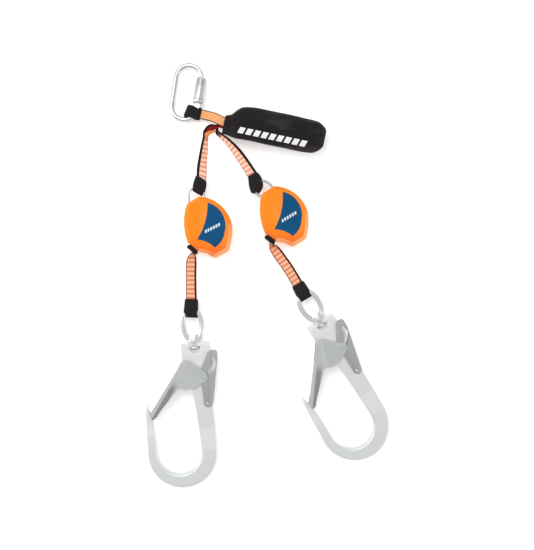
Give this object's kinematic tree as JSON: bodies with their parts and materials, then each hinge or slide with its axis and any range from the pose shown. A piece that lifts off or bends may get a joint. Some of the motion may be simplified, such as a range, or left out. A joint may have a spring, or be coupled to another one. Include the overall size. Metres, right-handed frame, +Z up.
{
  "type": "self retracting lifeline",
  "caption": "Twin-leg self retracting lifeline: karabiner, energy absorber pouch and webbing blocks whose retracting legs end in swivelling scaffold hooks.",
  "frame": {"origin": "on the surface that the object lies on, under the middle of its bounding box", "axes": "+Z up from that surface, +Y from the hooks towards the karabiner"},
  "size_m": [0.4138, 0.7212, 0.0447],
  "materials": {
    "steel": "bright zinc plate",
    "spring": "blued spring steel",
    "hook": "forged and polished",
    "front": "satin orange",
    "rear": "satin pale orange",
    "label": "satin blue label",
    "guide": "satin black",
    "drum": "satin grey",
    "cover": "black woven cover",
    "webbing": "orange webbing with pale bands and black edges",
    "plain": "plain orange webbing"
  },
  "bodies": {
    "root": {"absorber_pouch": "cover", "tear_webbing": "webbing", "karabiner_strap": "plain", "karabiner_wear_sleeve": "cover", "left_upper_strap": "webbing", "right_upper_strap": "webbing", "left_upper_sleeve": "cover", "right_upper_sleeve": "cover"},
    "karabiner": {"karabiner_body": "steel", "karabiner_hinge_pin": "steel"},
    "karabiner_gate_arm": {"karabiner_gate": "steel"},
    "karabiner_lock": {"lock_sleeve": "steel"},
    "left_ring": {"left_top_ring": "steel"},
    "left_block": {"left_rear_shell": "rear", "left_front_shell": "front", "left_label_panel": "label", "left_web_guide": "guide", "left_frame_plate": "steel", "left_anchor_pin": "steel", "left_drum_axle": "steel", "left_power_spring": "spring", "left_ratchet_ring": "steel"},
    "left_spool": {"left_drum": "drum", "left_web_coil": "webbing"},
    "left_catch": {"left_pawl": "steel"},
    "left_line": {"left_lifeline": "webbing", "left_lower_sleeve": "cover"},
    "left_swivel": {"left_swivel_ring": "steel", "left_swivel_pin": "steel"},
    "left_hook": {"left_hook_body": "hook", "left_gate_rivet": "steel", "left_lever_rivet": "steel"},
    "left_gate_arm": {"left_gate": "steel", "left_gate_tail_pin": "steel"},
    "left_lever_arm": {"left_lock_lever": "steel"},
    "right_ring": {"right_top_ring": "steel"},
    "right_block": {"right_rear_shell": "rear", "right_front_shell": "front", "right_label_panel": "label", "right_web_guide": "guide", "right_frame_plate": "steel", "right_anchor_pin": "steel", "right_drum_axle": "steel", "right_power_spring": "spring", "right_ratchet_ring": "steel"},
    "right_spool": {"right_drum": "drum", "right_web_coil": "webbing"},
    "right_catch": {"right_pawl": "steel"},
    "right_line": {"right_lifeline": "webbing", "right_lower_sleeve": "cover"},
    "right_swivel": {"right_swivel_ring": "steel", "right_swivel_pin": "steel"},
    "right_hook": {"right_hook_body": "hook", "right_gate_rivet": "steel", "right_lever_rivet": "steel"},
    "right_gate_arm": {"right_gate": "steel", "right_gate_tail_pin": "steel"},
    "right_lever_arm": {"right_lock_lever": "steel"}
  },
  "joints": [
    {"name": "karabiner_swing", "type": "hinge", "parent": "root", "child": "karabiner", "pos_m": [-0.1276, 0.276, 0.0085], "axis": [0.309, 0.9511, 0], "range_deg": [-75, 75], "deforming": ["karabiner_wear_sleeve"]},
    {"name": "karabiner_gate_swing", "type": "hinge", "parent": "karabiner", "child": "karabiner_gate_arm", "pos_m": [-0.11894, 0.28606, 0.00919], "axis": [-0.0999, 0.0151, 0.9949], "range_deg": [0, 20], "stiffness_Nm_per_rad": 0.1, "springref_deg": -20.05},
    {"name": "lock_sleeve_turn", "type": "hinge", "parent": "karabiner_gate_arm", "child": "karabiner_lock", "pos_m": [-0.11894, 0.28606, 0.00919], "axis": [0.1495, 0.9888, 0], "range_deg": [0, 90], "stiffness_Nm_per_rad": 0.01, "springref_deg": -17.19},
    {"name": "left_ring_swing", "type": "hinge", "parent": "root", "child": "left_ring", "pos_m": [-0.11944, 0.14967, 0.018], "axis": [-0.9981, 0.061, 0], "range_deg": [-60, 60], "deforming": ["left_upper_sleeve"]},
    {"name": "left_block_turn", "type": "hinge", "parent": "left_ring", "child": "left_block", "pos_m": [-0.12134, 0.11863, 0.018], "axis": [0, 0, 1], "range_deg": [-70, 5]},
    {"name": "left_payout", "type": "slide", "parent": "left_block", "child": "left_line", "axis": [-0.0441, -0.999, 0], "range_m": [0, 1.4], "stiffness_N_per_m": 5, "springref_m": -0.3, "deforming": ["left_lifeline"]},
    {"name": "left_drum_turn", "type": "hinge", "parent": "left_block", "child": "left_spool", "pos_m": [-0.10244, 0.08423, 0.018], "axis": [0, 0, 1], "range_deg": [0, 4320]},
    {"name": "left_pawl_turn", "type": "hinge", "parent": "left_spool", "child": "left_catch", "pos_m": [-0.10244, 0.09923, 0.0304], "axis": [0, 0, 1], "range_deg": [0, 30], "stiffness_Nm_per_rad": 0.002, "springref_deg": -17.19},
    {"name": "left_hook_swing", "type": "hinge", "parent": "left_line", "child": "left_swivel", "pos_m": [-0.12997, -0.06121, 0.0113], "axis": [0.9945, 0.1045, 0], "range_deg": [-80, 80], "deforming": ["left_lower_sleeve"]},
    {"name": "left_hook_swivel", "type": "hinge", "parent": "left_swivel", "child": "left_hook", "pos_m": [-0.12354, -0.12237, 0.0113], "axis": [-0.1045, 0.9945, 0], "continuous": true},
    {"name": "left_gate_swing", "type": "hinge", "parent": "left_hook", "child": "left_gate_arm", "pos_m": [-0.13748, -0.15239, 0.0113], "axis": [0, 0, 1], "range_deg": [0, 33], "stiffness_Nm_per_rad": 0.3, "springref_deg": -20.05},
    {"name": "left_lever_swing", "type": "hinge", "parent": "left_hook", "child": "left_lever_arm", "pos_m": [-0.10147, -0.21849, 0.0113], "axis": [0, 0, 1], "range_deg": [0, 7]},
    {"name": "right_ring_swing", "type": "hinge", "parent": "root", "child": "right_ring", "pos_m": [-0.01983, 0.15469, 0.018], "axis": [-0.6157, -0.788, 0], "range_deg": [-60, 60], "deforming": ["right_upper_sleeve"]},
    {"name": "right_block_turn", "type": "hinge", "parent": "right_ring", "child": "right_block", "pos_m": [0.00468, 0.13554, 0.018], "axis": [0, 0, 1], "range_deg": [-15, 58]},
    {"name": "right_payout", "type": "slide", "parent": "right_block", "child": "right_line", "axis": [0.5576, -0.8301, 0], "range_m": [0, 1.4], "stiffness_N_per_m": 5, "springref_m": -0.3, "deforming": ["right_lifeline"]},
    {"name": "right_drum_turn", "type": "hinge", "parent": "right_block", "child": "right_spool", "pos_m": [0.02576, 0.10243, 0.018], "axis": [0, 0, 1], "range_deg": [0, 4320]},
    {"name": "right_pawl_turn", "type": "hinge", "parent": "right_spool", "child": "right_catch", "pos_m": [0.02479, 0.1174, 0.0304], "axis": [0, 0, 1], "range_deg": [0, 30], "stiffness_Nm_per_rad": 0.002, "springref_deg": -17.19},
    {"name": "right_hook_swing", "type": "hinge", "parent": "right_line", "child": "right_swivel", "pos_m": [0.06015, -0.03138, 0.0113], "axis": [0.8616, 0.5075, 0], "range_deg": [-80, 80], "deforming": ["right_lower_sleeve"]},
    {"name": "right_hook_swivel", "type": "hinge", "parent": "right_swivel", "child": "right_hook", "pos_m": [0.09136, -0.08437, 0.0113], "axis": [-0.5075, 0.8616, 0], "continuous": true},
    {"name": "right_gate_swing", "type": "hinge", "parent": "right_hook", "child": "right_gate_arm", "pos_m": [0.09113, -0.11747, 0.0113], "axis": [0, 0, 1], "range_deg": [0, 33], "stiffness_Nm_per_rad": 0.3, "springref_deg": -20.05},
    {"name": "right_lever_swing", "type": "hinge", "parent": "right_hook", "child": "right_lever_arm", "pos_m": [0.1513, -0.16268, 0.0113], "axis": [0, 0, 1], "range_deg": [0, 7]}
  ],
  "couplings": [
    {"joint": "left_drum_turn", "follows": "left_payout", "rad_per_m": 53.856},
    {"joint": "left_lever_swing", "follows": "left_gate_swing", "ratio": 0.21212},
    {"joint": "right_drum_turn", "follows": "right_payout", "rad_per_m": 53.856},
    {"joint": "right_lever_swing", "follows": "right_gate_swing", "ratio": 0.21212}
  ]
}
